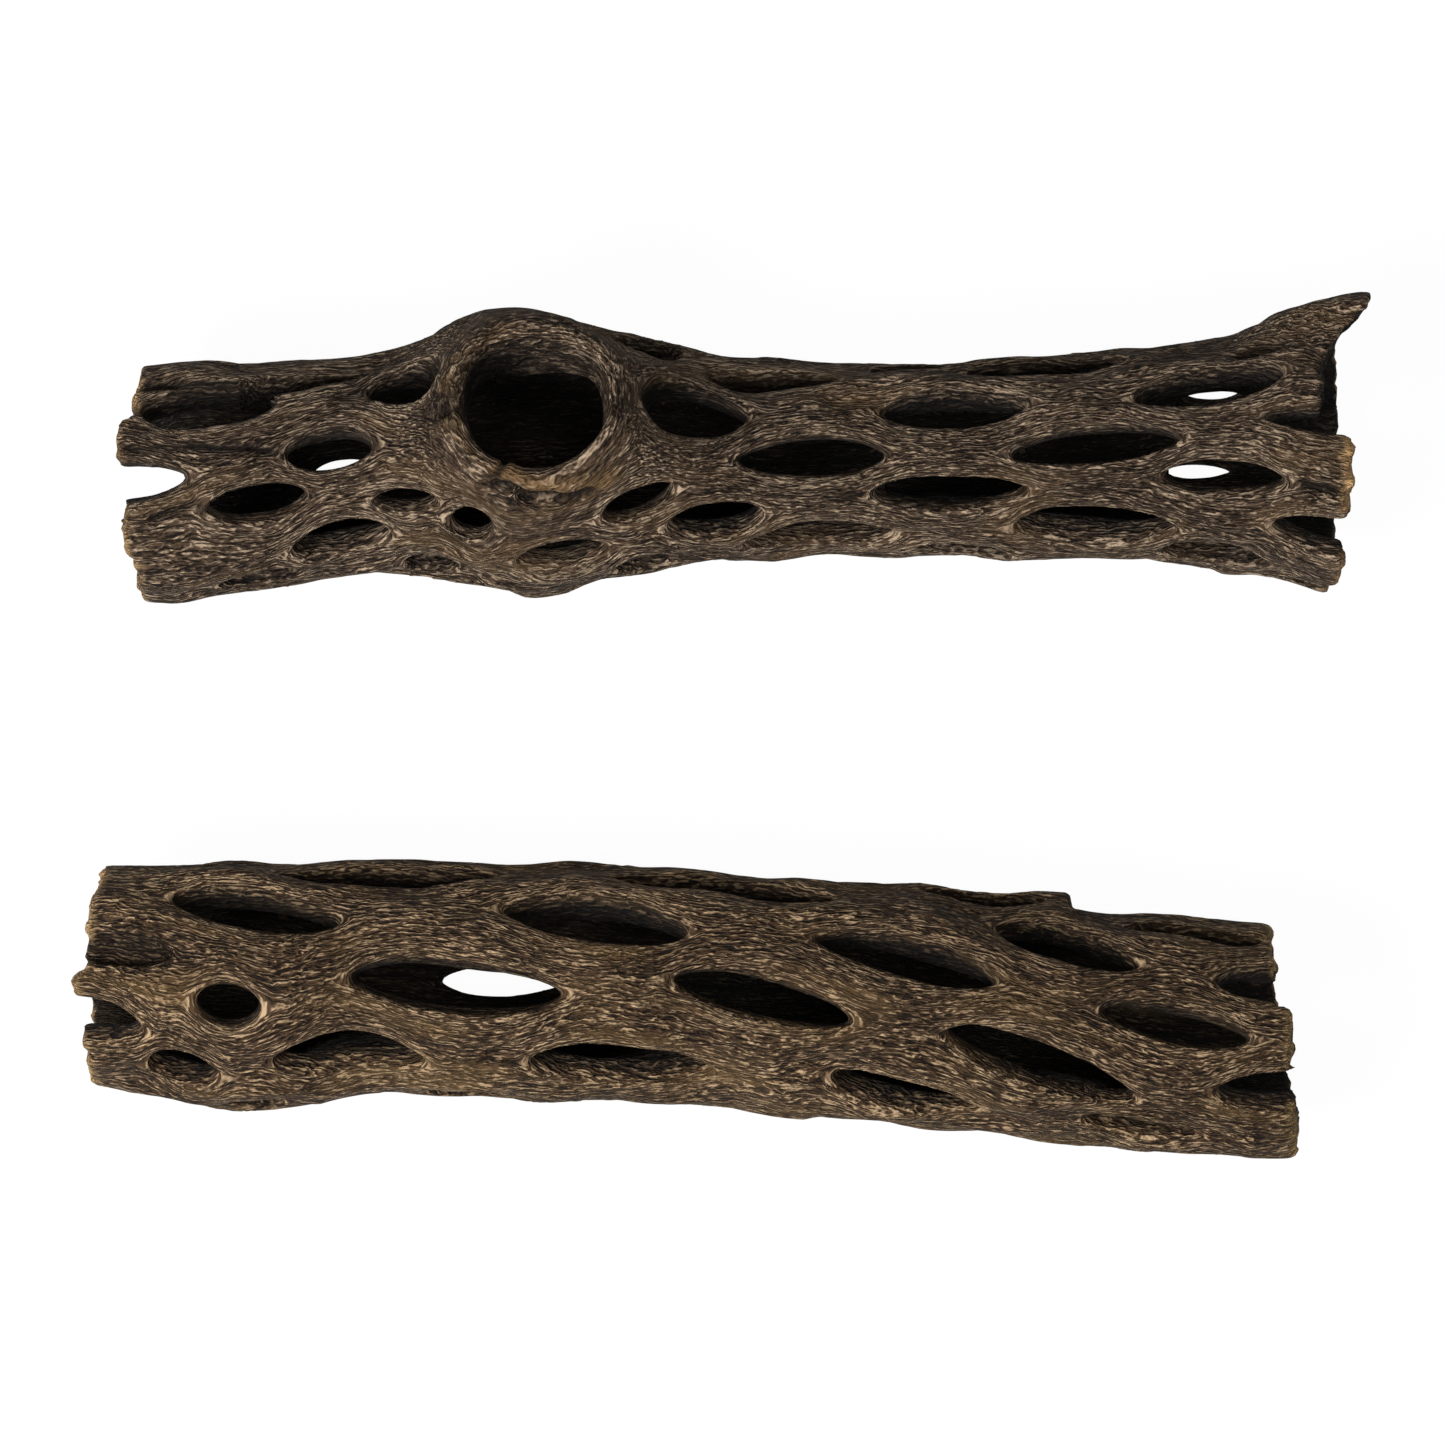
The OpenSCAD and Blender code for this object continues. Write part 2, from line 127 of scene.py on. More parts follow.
STRAIGHT_WINDOWS = [
    (-74.3, -28, 14, 6, -3, 0), (-65, 84, 12, 4, 0, 0),
    (-62.8, -51, 9.4, 7.2, 0, 0), (-57, -9, 8.5, 6, 0, 0), (-54, -76, 7, 4.5, 5, 0),
    (-53.5, 39.5, 22, 6.4, -7, -0.2), (-42, -42, 20, 7, -4, -0.4), (-37.5, 69, 29, 3.8, 0, 0),
    (-28.5, -1, 28.5, 7.2, -3, -0.3), (-27.5, -79, 11, 4.5, 0, 0), (-11.5, 37.5, 24.5, 6.8, -7, -0.2),
    (-8, -43, 24, 6.8, -6, -0.3),
    (4.5, 67, 29, 4, -6, 0), (9.5, -2, 24, 6.2, -9, 0), (27.5, 26, 24, 5.8, -9, 0),
    (27.5, -51, 20, 6.5, -9, -0.4), (37, 82, 16, 4, 0, 0), (44, -22, 26, 6.6, -14, 0),
    (47.5, 46, 19, 7, -12, -0.3), (56.6, -57, 15, 4.6, -4, -0.3), (61, 7, 20, 5, -6, 0),
    (63.5, 68, 18, 4, 0, 0), (73, 36, 15, 5, 0, 0), (74, -26, 17, 5, 0, -0.2),
    (-72, 128, 13, 5.5, -5, 0), (-72, 186, 12, 5, -5, 0), (-73, 240, 13, 5.5, -5, 0),
    (-58, 104, 16, 5.8, -6, 0), (-58, 163, 14, 5, -6, 0), (-55, 214, 12, 5, -6, 0),
    (-57, 262, 13, 5.5, -6, 0), (-41.5, 126, 19, 6, -6, 0), (-48, 187, 11, 5, -6, 0),
    (-41.5, 235, 19, 6, -6, 0), (-33, 149, 16, 5, -6, 0), (-24.5, 104, 20, 5.8, -6, 0),
    (-22.5, 178, 19, 5.6, -4, 0), (-26.5, 214, 12, 5.4, -6, 0), (-24.5, 257, 19, 6, -6, 0),
    (-9, 168, 14, 5, -6, 0), (-9, 194, 14, 4.4, -6, 0), (-6.5, 122, 20, 5.8, -6, 0),
    (-3, 236, 14, 4.6, -6, 0), (-4, 268, 19, 5.8, -6, 0), (8, 148, 17, 5, -6, 0), (13, 210, 18, 5, -6, 0),
    (11, 246, 20, 5.8, -6, 0), (21, 103, 20, 5.8, -6, 0), (29, 182, 17, 5, -6, 0),
    (27, 213, 15, 4.6, -6, 0), (31, 271, 18, 5.8, -6, 0), (33, 135, 20, 5.8, -6, 0),
    (45, 171, 14, 5, -6, 0), (46, 226, 16, 5, -6, 0), (47, 260, 18, 5, -6, 0),
    (50, 107, 19, 5.8, -6, 0), (59, 153, 14, 5, -6, 0), (61, 219, 12, 5, -6, 0),
    (65, 266, 16, 5.5, -6, 0), (72, 124, 15, 5.5, -6, 0), (76, 184, 12, 4.6, -6, 0),
    (75, 250, 12, 5, -6, 0),
]

# Pits that don't go through the wall: a window and its depth
KNOT_PITS = [
    ((65.7, 60, 7, 2.4, 6, 0), 1.8), ((-36.8, 21, 4.4, 2.8, 10, 0.4), 2.4),
    ((-23.4, -16, 8, 2.4, -4, 0), 2.6), ((-46.5, 40, 8, 4.5, 0, 0.5), 1.6),
]
STRAIGHT_PITS = [((-70, 14, 13, 4.6, 0, 0), 3.2)]

# Clefts along the grain, and the splinter under the knot hole: points of (x, angle)
KNOT_CLEFTS = [
    [(-77, 17), (-68, 17), (-60, 14), (-56, 11)],
    [(-76, 60), (-66, 59), (-57, 56)],
    [(70, -14), (74, -14), (78, -14)],
    [(-73, -20), (-69, -14), (-66, -9)],
    [(-31.5, -7.5), (-30, -8.5), (-27, -11.5), (-24.6, -13.5), (-20, -15.5), (-16, -14)],
    [(-31.4, -10), (-30, -7), (-28.8, -3), (-27, 4)],
]
KNOT_SPLINTER = [(-31, -3), (-28, -5), (-25, -9), (-21.5, -11), (-17, -10.5), (-13.5, -5)]
CLEFT_WIDTH = 0.55
SPLINTER_WIDTH = 1.0
OPEN_ENDED = 70                   # clefts further out than this run on through the end

KNOT_HOLE = (-25.1, 24, 8.5)      # x, angle, radius
HOLE_SQUARENESS = 2.4             # 2 would be a circle
COLLAR_RISE = 4.2
COLLAR_REACH = 6
COLLAR_RADIUS = 20                # from the log's axis to the collar
HUMP = (-31, 84, 4.4)             # x, angle, rise of the swelling behind the knot hole
HUMP_LEFT = 7
HUMP_RIGHT = 11
HUMP_TURN = 0.6
SPUR_ANGLE = 76
SPUR_SPREAD = 20
SPUR_RISE = [(62.5, 0), (65, 1.1), (68, 2.4), (71, 3.2), (76, 4.2), (82, 5.2)]
# How much longer the log is at the spur, by distance towards the back
SPUR_EDGE = [(13.5, 0), (14.6, 0.5), (16, 1.4), (17.4, 2.6), (19.2, 4.4), (20.5, 5.3), (22, 5.6)]
RIB_ANGLE = 86                    # the broken rib along the straight log's back edge
RIB_SPREAD = 13
RIB_END = 48
RIB_RISE = 1.8
RIB_LENGTH = 22
RIB_TAPER = 20                    # the rib swells over this length

LENS = 0.97                       # a rounded rim makes a window look longer than its table says
NARROWING = 0.08, 0.35            # how much shorter and narrower a window is at the bore
BLUNT = 1.5                       # a window's outline across and along it: 2 would be an ellipse
POINTED = 2.3
DENT = 0.7                        # the hollow round a window: depth, reach, length beside the window's
DENT_REACH = 2.2
DENT_LENGTH = 1.4

# Slow unevenness of the outside: (height, waves in a turn, radians in a millimetre, phase)
LUMPS = [
    (0.3, 3, 0.07, 1), (0.26, 5, -0.11, 2), (0.22, 9, 0.17, 3), (0.16, 2, 0.43, 1), (0.14, 14, -0.31, 4),
]

PARTING = 3.2                     # how far beside a window fibres still bend round it
KNOT_PARTING = 6.5                # the same beside the knot hole
FRESH_WOOD = (0.6, 0.36, 0.16)    # colour


class Log:
    """One log: its tables, and the radii that follow from them."""

    def __init__(self, name, stations, axis, ends, windows, pits, clefts, place, seed, knot):
        self.name = name
        self.stations = np.array(stations, float)
        self.axis = axis                # height of the axis above the floor, and its slope
        self.ends = [np.array(end, float) for end in ends]
        self.windows = windows
        self.pits = pits
        self.clefts = clefts
        self.place = place              # where the middle of the log lies in the scene
        self.seed = seed
        self.knot = knot                # whether it has the knot hole, the hump and the spur

    def line(self, column, x):
        """A station value along the log, with the corners between stations rounded."""
        step, blur, reach = 0.5, 2.5, 16
        grid = np.arange(-100, 100 + step, step)
        value = np.interp(grid, self.stations[:, 0], self.stations[:, column])
        weight = np.exp(-0.5 * (np.arange(-reach, reach + 1) * step / blur) ** 2)
        value = np.convolve(np.pad(value, reach, mode="edge"), weight / weight.sum(), mode="valid")
        return np.interp(x, grid, value)

    def centre(self, x):
        return self.line(1, x), self.axis[0] + self.axis[1] * np.asarray(x)

    def lumps(self, x, angle):
        total = 0
        for height, turns, along, phase in LUMPS:
            total = total + height * np.sin(turns * angle + along * x + phase * self.seed)
        return total

    def outside(self, x, angle):
        """The outer radius, with what stands out of it."""
        r = self.line(2, x) + self.lumps(x, angle)
        if self.knot:
            return r + collar_rise(x, angle) + spur_rise(x, angle) + hump_rise(x, angle)
        return r + rib_rise(x, angle)

    def bore(self, x, angle):
        """The inner radius. Its unevenness is out of step with the outside's."""
        r = self.line(2, x) - WALL + 0.6 * self.lumps(x + 40, angle)
        return r + spur_rise(x, angle) if self.knot else r


def collar_rise(x, angle):
    hx, ha, hr = KNOT_HOLE
    away = np.hypot(x - hx, COLLAR_RADIUS * wrap(angle - math.radians(ha))) - hr - 1
    return COLLAR_RISE * np.exp(-(np.maximum(0, away) / COLLAR_REACH) ** 2)


def spur_rise(x, angle):
    """How far the torn spur stands out: a quick shoulder, then a long slope to the point."""
    away = wrap(angle - math.radians(SPUR_ANGLE)) / math.radians(SPUR_SPREAD)
    return np.exp(-away * away) * np.interp(x, *zip(*SPUR_RISE))


def hump_rise(x, angle):
    hx, ha, rise = HUMP
    along = np.where(x < hx, (hx - x) / HUMP_LEFT, (x - hx) / HUMP_RIGHT)
    turned = wrap(angle - math.radians(ha)) / HUMP_TURN
    return rise * np.exp(-(along ** 2 + turned ** 2))


def rib_rise(x, angle):
    """The rib along the back edge, which swells towards its broken end."""
    away = wrap(angle - math.radians(RIB_ANGLE)) / math.radians(RIB_SPREAD)
    swelling = np.clip((x - RIB_END + RIB_LENGTH) / RIB_TAPER, 0, 1)
    return RIB_RISE * np.exp(-away * away) * swelling * (x < RIB_END)


def wrap(angle):
    """An angle brought to between minus and plus half a turn."""
    return (angle + math.pi) % (2 * math.pi) - math.pi


def smax(a, b, k):
    """The larger of two fields, with a round of width k where they meet."""
    h = np.maximum(k - np.abs(a - b), 0) / k
    return np.maximum(a, b) + h * h * k * 0.25


def hash3(i, j, k, seed):
    """An even spread of numbers from -1 to 1, always the same for the same corner."""
    n = (i * 374761393 + j * 668265263 + k * 1274126177 + seed * 974634777) & 0xFFFFFFFF
    n = ((n ^ (n >> 13)) * 1274126177) & 0xFFFFFFFF
    n = ((n ^ (n >> 16)) * 668265263) & 0xFFFFFFFF
    return ((n ^ (n >> 15)) & 0xFFFFFF) / float(0xFFFFFF) * 2 - 1


def noise3(x, y, z, seed):
    """Smooth value noise from -1 to 1, with cells 1 wide."""
    fx, fy, fz = np.floor(x), np.floor(y), np.floor(z)
    i, j, k = (f.astype(np.int64) for f in (fx, fy, fz))
    u, v, w = (t * t * (3 - 2 * t) for t in (x - fx, y - fy, z - fz))
    out = 0
    for a in (0, 1):
        for b in (0, 1):
            for c in (0, 1):
                g = (u if a else 1 - u) * (v if b else 1 - v) * (w if c else 1 - w)
                out = out + g * hash3(i + a, j + b, k + c, seed)
    return out


def lopsided(u, half, skew):
    """Distance from a window's widest point as a share of the way to its tip, along one half."""
    widest = skew * half / 2
    return np.abs((u - widest) / np.where(u < widest, half + widest, half - widest))


def window_distance(win, radius, x, angle, r, longer=1.0):
    """Distance outside a window's prism, which narrows a little inwards."""
    wx, wa, length, width, slant, skew = win
    turn = wrap(angle - math.radians(wa))
    far_side = np.where(np.abs(turn) > 1.5, 30, 0) * np.sign(turn)
    t = r * np.sin(np.clip(turn, -1.5, 1.5)) + far_side
    c, s = math.cos(math.radians(slant)), math.sin(math.radians(slant))
    u = x - wx
    along, across = u * c + t * s, t * c - u * s
    inward = np.clip((radius - r) / WALL, -0.2, 1.1)
    half = length / 2 * longer * (LENS - NARROWING[0] * inward)
    broad = width / 2 * (1 - NARROWING[1] * inward)
    q = lopsided(along, half, skew)
    a = np.abs(across) / broad
    steep = np.hypot(BLUNT * a ** (BLUNT - 1) / broad, POINTED * q ** (POINTED - 1) / half)
    return (a ** BLUNT + q ** POINTED - 1) / np.maximum(steep, 0.5 / broad)


def windows_and_dents(log, xs, x, angle, r, outer):
    """Distance outside the nearest window or pit, and the hollows that lead into them."""
    gap = np.full(r.shape, 50, np.float32)
    dent = np.zeros(r.shape, np.float32)
    for win, deep in [(w, None) for w in log.windows] + log.pits:
        reach = win[2] * DENT_LENGTH / 2 + 3
        lo, hi = np.searchsorted(xs, [win[0] - reach, win[0] + reach])
        if hi <= lo:
            continue
        cut = slice(lo, hi)
        radius = log.line(2, xs[cut])[:, None, None]
        d = window_distance(win, radius, x[cut], angle[cut], r[cut])
        if deep:
            d = smax(d, outer[cut] - deep - r[cut], PIT_ROUND)
        gap[cut] = np.minimum(gap[cut], d)
        d = window_distance(win, radius, x[cut], angle[cut], r[cut], DENT_LENGTH)
        dent[cut] = np.maximum(dent[cut], DENT * np.exp(-(np.maximum(d, 0) / DENT_REACH) ** 2))
    return gap, dent


def end_x(table, angle):
    return np.interp(np.degrees(angle), table[:, 0], table[:, 1])


def torn_end(table, angle, r, layer, seed, fine_seed):
    """x of a torn end: a slow outline from the table, with short broken fibres on it."""
    flat = angle * 0
    turns, across, length = LONG_TEETH
    teeth = noise3(angle * turns, r * across, flat + layer, seed) * length
    turns, across, length = SHORT_TEETH
    teeth = teeth + noise3(angle * turns, r * across, flat, fine_seed) * length
    return end_x(table, angle) + teeth


def cut_ends(log, f, x, angle, r):
    left = torn_end(log.ends[0], angle[0], r[0], 3, log.seed, log.seed)
    right = torn_end(log.ends[1], angle[-1], r[-1], 9, log.seed, log.seed + 1)
    if log.knot:
        towards_back = r[-1] * np.sin(angle[-1])
        upper_half = np.clip((2 - angle[-1]) / 0.3, 0, 1)
        right = right + np.interp(towards_back, *zip(*SPUR_EDGE)) * upper_half
    return smax(f, np.maximum(left[None] - x, x - right[None]), END_ROUND)


def cut_knot_hole(f, x, angle, r):
    """The knot hole down to the bore, with a worn rim that is sharper on its right."""
    hx, ha, hr = KNOT_HOLE
    turn = wrap(angle - math.radians(ha))
    high, side = r * np.cos(turn), r * np.sin(turn)
    flare = 0.5 * np.clip((high - 15) / 5, 0, 1)
    lean = 0.03 * high
    along = np.abs(x - hx - lean) ** HOLE_SQUARENESS
    across = np.abs(side * 1.02) ** HOLE_SQUARENESS
    rim = (along + across) ** (1 / HOLE_SQUARENESS) - hr - flare
    soft = 2.4 - 0.8 * np.clip((x - hx + 6) / 12, 0, 1)
    return smax(f, np.where(high > 0, -rim, -20), soft)


def field(log, xs, ys, zs):
    """Signed distance to the log's wood on a grid, below zero inside it."""
    cy, cz = log.centre(xs)
    v = (ys[None, :, None] - cy[:, None, None]).astype(np.float32)
    w = (zs[None, None, :] - cz[:, None, None]).astype(np.float32)
    v, w = np.broadcast_arrays(v, w)
    r, angle = np.hypot(v, w), np.arctan2(v, w)
    x = np.broadcast_to(xs[:, None, None].astype(np.float32), r.shape)
    outer, inner = log.outside(x, angle), log.bore(x, angle)
    gap, dent = windows_and_dents(log, xs, x, angle, r, outer)
    f = smax(r - (outer - dent), inner - r, BORE_ROUND)
    f = cut_ends(log, f, x, angle, r)
    f = smax(f, -gap, WINDOW_ROUND)
    if log.knot:
        f = cut_knot_hole(f, x, angle, r)
    # The lowest wood is worn flat where the log lies
    return smax(f, -(zs[None, None, :] + 0 * f), FLAT_ROUND)


def surface_net(f, xs, ys, zs):
    """A closed quad mesh of the zero surface: one vertex in each cell that it crosses."""
    axes = (xs, ys, zs)
    n = np.array(f.shape) - 1
    total = np.zeros((*n, 3), np.float32)
    count = np.zeros(n, np.float32)
    ids = np.arange(n.prod()).reshape(n)
    quads = []
    for axis in range(3):
        lo = [slice(None)] * 3
        hi = [slice(None)] * 3
        lo[axis], hi[axis] = slice(0, -1), slice(1, None)
        f0, f1 = f[tuple(lo)], f[tuple(hi)]
        cross = (f0 < 0) != (f1 < 0)
        t = np.where(cross, f0 / np.where(cross, f0 - f1, 1), 0)
        p = [crossing(axes[k], k, axis, t) for k in range(3)]
        one, two = [k for k in range(3) if k != axis]
        # Each crossed edge is shared by four cells
        for a in (0, 1):
            for b in (0, 1):
                cut = [slice(None)] * 3
                cut[one] = slice(a, cross.shape[one] - 1 + a)
                cut[two] = slice(b, cross.shape[two] - 1 + b)
                cut = tuple(cut)
                count += cross[cut]
                for k in range(3):
                    total[..., k] += np.where(cross[cut], p[k][cut], 0)
        i = np.argwhere(cross)
        inner = (i[:, one] > 0) & (i[:, one] < cross.shape[one] - 1)
        inner &= (i[:, two] > 0) & (i[:, two] < cross.shape[two] - 1)
        i = i[inner]
        ring = []
        for a, b in ((-1, -1), (0, -1), (0, 0), (-1, 0)):
            j = i.copy()
            j[:, one] += a
            j[:, two] += b
            ring.append(ids[j[:, 0], j[:, 1], j[:, 2]])
        ring = np.stack(ring, 1)
        flip = (f0[tuple(i.T)] < 0) == (axis == 1)
        ring[flip] = ring[flip][:, ::-1]
        quads.append(ring)
    quads = np.concatenate(quads)
    used, flat = np.unique(quads, return_inverse=True)
    points = total.reshape(-1, 3)[used] / count.reshape(-1)[used, None]
    return points.astype(float), flat.reshape(-1, 4)


def crossing(places, k, axis, t):
    """Coordinate k of the points where the grid's edges along an axis are crossed."""
    shape = [1, 1, 1]
    shape[k] = -1
    if k == axis:
        return places[:-1].reshape(shape) + t * (places[1] - places[0])
    return np.broadcast_to(places.reshape(shape), t.shape)


def sample(f, xs, ys, zs, p):
    """Trilinear value of a grid at points."""
    out = 0
    base, frac = [], []
    for k, a in enumerate((xs, ys, zs)):
        q = np.clip((p[:, k] - a[0]) / (a[1] - a[0]), 0, len(a) - 1.001)
        i = q.astype(int)
        base.append(i)
        frac.append(q - i)
    for a in (0, 1):
        for b in (0, 1):
            for c in (0, 1):
                g = ((frac[0] if a else 1 - frac[0]) * (frac[1] if b else 1 - frac[1])
                     * (frac[2] if c else 1 - frac[2]))
                out = out + g * f[base[0] + a, base[1] + b, base[2] + c]
    return out


def gradient(f, xs, ys, zs, p, h=0.3):
    g = []
    for k in range(3):
        e = np.zeros(3)
        e[k] = h
        g.append((sample(f, xs, ys, zs, p + e) - sample(f, xs, ys, zs, p - e)) / (2 * h))
    return np.stack(g, 1)


def biggest_island(n, quads):
    """Which vertices belong to the largest connected piece."""
    label = np.arange(n)
    edges = np.concatenate([quads[:, [a, (a + 1) % 4]] for a in range(4)])
    while True:
        low = np.minimum(label[edges[:, 0]], label[edges[:, 1]])
        new = label.copy()
        np.minimum.at(new, edges[:, 0], low)
        np.minimum.at(new, edges[:, 1], low)
        new = new[new]
        new = new[new]
        if (new == label).all():
            break
        label = new
    names, size = np.unique(label, return_counts=True)
    return label == names[size.argmax()]


def build_surface(log):
    """Points on the log's smooth surface, the way each faces, and the quads between them."""
    xs = np.arange(*GRID_X, CELL * CELL_STRETCH)
    ys = np.arange(*GRID_Y, CELL)
    zs = np.arange(*GRID_Z, CELL)
    f = field(log, xs, ys, zs)
    points, quads = surface_net(f, xs, ys, zs)
    keep = biggest_island(len(points), quads)
    index = np.cumsum(keep) - 1
    quads = index[quads[keep[quads].all(1)]]
    points = points[keep]
    # Pull the points onto the zero surface
    for _ in range(2):
        g = gradient(f, xs, ys, zs, points)
        slope = np.maximum((g * g).sum(1), 0.2)
        step = sample(f, xs, ys, zs, points)[:, None] * g / slope[:, None]
        points -= np.clip(step, -CELL / 2, CELL / 2)
    g = gradient(f, xs, ys, zs, points, 0.45)
    return points, g / np.linalg.norm(g, axis=1)[:, None], quads


def grain(log, p):
    """Coordinates that run with the fibres, which part round every window."""
    cy, cz = log.centre(p[:, 0])
    v, w = p[:, 1] - cy, p[:, 2] - cz
    r, angle = np.hypot(v, w), np.arctan2(v, w)
    x = p[:, 0]
    radius = log.line(2, x)
    shift = np.zeros(len(p))
    holes = [(win, PARTING) for win in log.windows]
    if log.knot:
        hx, ha, hr = KNOT_HOLE
        holes.append(((hx, ha, 2 * hr + 7, 2 * hr - 1, 0, 0), KNOT_PARTING))
    for (wx, wa, length, width, slant, skew), reach in holes:
        half = length / 2 + 1.5
        near = np.abs(x - wx) < half
        u = x[near] - wx
        q = lopsided(u, half, skew)
        b = (width / 2 + 0.3) * np.clip(1 - q ** 2, 0, 1) ** 1.1
        arc = radius[near] * wrap(angle[near] - math.radians(wa))
        arc = arc - math.tan(math.radians(slant)) * u
        away = np.maximum(np.abs(arc) - b, 0)
        shift[near] -= np.sign(arc) * np.minimum(np.abs(arc), b) * np.exp(-away / reach)
    turn = angle + shift / radius
    return x, r, turn, angle, radius


def cleft_share(paths, x, angle, radius, width):
    """1 in the middle of a cleft or the splinter, 0 a little beside it."""
    share = np.zeros(len(x))
    for path in paths:
        path = np.array(path, float)
        near = (x > path[0, 0]) & (x < path[-1, 0])
        here = x[near]
        route = np.interp(here, path[:, 0], path[:, 1]) + 0.5 * np.sin(here * 1.3)
        arc = radius[near] * wrap(angle[near] - np.radians(route))
        fade = np.clip(np.minimum(here - path[0, 0], path[-1, 0] - here) / 2, 0, 1)
        fade = np.where(np.abs(here) > OPEN_ENDED, 1, fade)
        core = np.minimum(1, 1.6 * np.exp(-(arc / width) ** 2))
        share[near] = np.maximum(share[near], core * fade)
    return share


def rim_share(log, x, r, angle, radius):
    """1 on the lip of a window, 0 a little beside it."""
    share = np.zeros(len(x))
    for win in log.windows:
        near = np.abs(x - win[0]) < win[2] / 2 + 3
        d = window_distance(win, radius[near], x[near], angle[near], r[near])
        share[near] = np.maximum(share[near], np.exp(-((d - 0.5) / 0.7) ** 2))
    return share


def ring_grain(x, r, angle):
    """Coordinates that run round the knot hole, and how much of the collar a point belongs to."""
    hx, ha, hr = KNOT_HOLE
    u = x - hx
    t = r * np.sin(wrap(angle - math.radians(ha)))
    away = np.hypot(u, t)
    around = np.arctan2(t, u)
    facing = np.cos(angle - math.radians(ha)) > 0
    collar = np.clip((hr + 6.5 - away) / 4, 0, 1) * facing * (r > 11)
    turned = np.abs(wrap(around + 1.9)) * 10
    return np.stack([turned, away, r + 1.5 * np.sin(around)], 1), collar


def throat_light(x, r, angle):
    """1 on the far right side of the knot hole's throat, which catches the light."""
    hx, ha, hr = KNOT_HOLE
    u = x - hx
    t = r * np.sin(wrap(angle - math.radians(ha)))
    side = np.clip((u + t + 2) / (1.4 * hr), 0, 1)
    inside = np.clip(hr + 2.5 - np.hypot(u, t), 0, 1)
    return side * inside * (r > 11) * (np.cos(angle) > 0)


def relief(log, x, gy, gz, z):
    """Raised strands along the grain with long hollows between them, flattened at the floor."""
    wander = noise3(x / 9, gy / 5, gz / 5, log.seed + 5) * 0.9
    strand = noise3(x / 7, (gy + wander) / 1.15, (gz + wander) / 1.15, log.seed + 7)
    coarse = noise3(x / 13, gy / 2.6, gz / 2.6, log.seed + 8)
    fine = noise3(x / 2.6, gy / 0.75, gz / 0.75, log.seed + 9)
    return (0.17 * strand + 0.26 * coarse + 0.06 * fine) * np.clip(z / 0.6, 0, 1)


def wall_shade(log, x, r, angle):
    """Depth below the outside, 0 to about 1 at the bore, and the painted shade there: darker deeper in,
    lighter on the knot hole's lit throat.
    """
    depth = np.clip((log.outside(x, angle) + 0.4 - r) / WALL, 0, 1.2)
    degrees = np.degrees(angle)
    # Painted light and shade: window walls on the front side are painted lighter, and those on the back
    # side darker below the rim
    front = np.clip((6 - degrees) / 24, 0, 1) * np.clip((degrees + 78) / 26, 0, 1)
    back = np.clip((degrees - 12) / 20, 0, 1) * (degrees < 100)
    shade = depth ** (1 + 1.6 * front) + 0.3 * back * np.clip((depth - 0.3) / 0.2, 0, 1)
    if log.knot:
        shade = shade * (1 - 0.55 * throat_light(x, r, angle))
    return depth, shade


def torn_share(log, x, angle, depth):
    """About 1 on freshly torn wood at the ends, fading along the log."""
    from_end = np.minimum(x - end_x(log.ends[0], angle), end_x(log.ends[1], angle) - x)
    from_end = np.clip(from_end, 0, None)
    torn = 0.75 * np.exp(-from_end / 1) + 0.25 * np.exp(-from_end / 6)
    torn = torn * np.clip(1.5 - 1.2 * depth, 0.2, 1)
    if log.knot:
        by_spur = (x > 0) & (np.abs(angle - 0.95) < 0.85)
        torn = np.where(by_spur, 0.4 * torn, torn)
        middle_rib = (x > 60) & (np.abs(angle + 0.05) < 0.35)
        torn = np.where(middle_rib, 1.6 * np.exp(-from_end / 1.4), torn)
    return torn


def write_mesh(log, points, quads, layers, material):
    """The log as a mesh object, with the values that its material reads at every vertex."""
    world = (points + np.array(log.place)) / 1000
    mesh = bpy.data.meshes.new(log.name)
    mesh.vertices.add(len(world))
    mesh.vertices.foreach_set("co", world.astype(np.float32).ravel())
    mesh.loops.add(quads.size)
    mesh.loops.foreach_set("vertex_index", quads.astype(np.int32).ravel())
    mesh.polygons.add(len(quads))
    mesh.polygons.foreach_set("loop_start", np.arange(0, quads.size, 4, dtype=np.int32))
    mesh.update(calc_edges=True)
    mesh.validate()
    mesh.shade_smooth()
    for name, value in layers:
        kind, slot = ("FLOAT", "value") if value.ndim == 1 else ("FLOAT_VECTOR", "vector")
        layer = mesh.attributes.new(name, kind, "POINT")
        layer.data.foreach_set(slot, value.astype(np.float32).ravel())
    mesh.materials.append(material)
    piece = bpy.data.objects.new(log.name, mesh)
    bpy.context.scene.collection.objects.link(piece)
    return piece


def make_log(log, material):
    points, normal, quads = build_surface(log)
    x, r, turn, angle, radius = grain(log, points)
    gy, gz = r * np.sin(turn), r * np.cos(turn)
    outside = np.clip((r - radius + 2) / 1.5, 0, 1)
    cleft = cleft_share(log.clefts, x, angle, radius, CLEFT_WIDTH) * outside
    splinter = np.zeros(len(x))
    if log.knot:
        splinter = cleft_share([KNOT_SPLINTER], x, angle, radius + 3, SPLINTER_WIDTH)
    rim = rim_share(log, x, r, angle, radius) * outside
    lift = relief(log, x, gy, gz, points[:, 2]) - 0.8 * cleft + 0.5 * splinter
    points = points + normal * lift[:, None]
    depth, shade = wall_shade(log, x, r, angle)
    layers = [
        ("fibre", np.stack([x, gy, gz], 1)),
        ("across", 14 * turn + 0.8 * r),
        ("shade", shade),
        ("torn", torn_share(log, points[:, 0], angle, depth)),
        ("cleft", cleft),
        ("splinter", splinter),
        ("rim", rim),
    ]
    if log.knot:
        ring, collar = ring_grain(x, r, angle)
        layers += [("ring", ring), ("ring_across", ring[:, 1] + 0.5 * r), ("collar", collar)]
    return write_mesh(log, points, quads, layers, material)


# Materials ---------------------------------------------------------------------------------


def grey(v):
    return (v, v, v)


